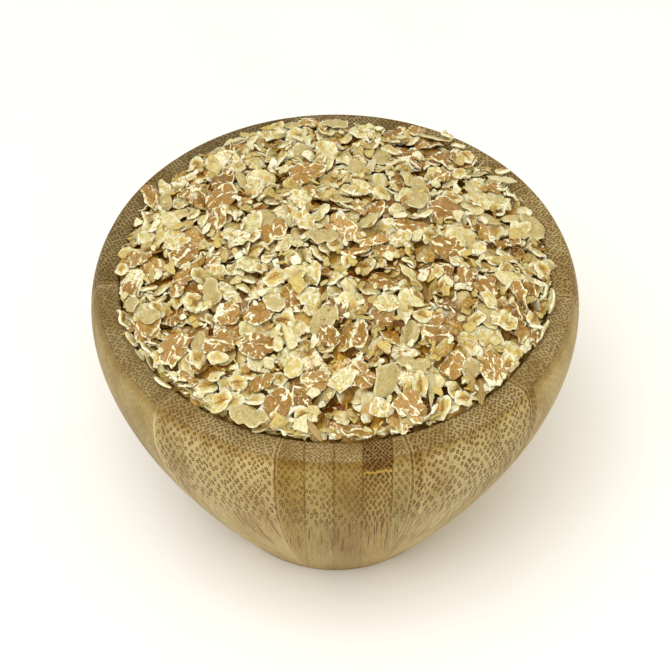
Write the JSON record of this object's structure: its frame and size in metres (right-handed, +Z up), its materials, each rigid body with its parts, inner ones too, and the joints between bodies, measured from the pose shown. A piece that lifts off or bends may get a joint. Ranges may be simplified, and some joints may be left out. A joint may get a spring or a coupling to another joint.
{
  "type": "bowl of mixed grain flakes",
  "caption": "Small turned bamboo bowl with a thick flat rim, heaped above the rim with loose mixed rolled grain flakes.",
  "frame": {"origin": "centre of the bowl's flat foot, on the surface it stands on", "axes": "+Z up along the bowl's axis; the picture looks along +Y and down, with +X to its right"},
  "size_m": [0.12, 0.12, 0.0966],
  "materials": {
    "bamboo": "satin oiled bamboo, cut across its strips",
    "flakes": "dry rolled grain, cream to brown"
  },
  "bodies": {
    "root": {"bowl": "bamboo", "heap": "flakes"}
  },
  "joints": []
}
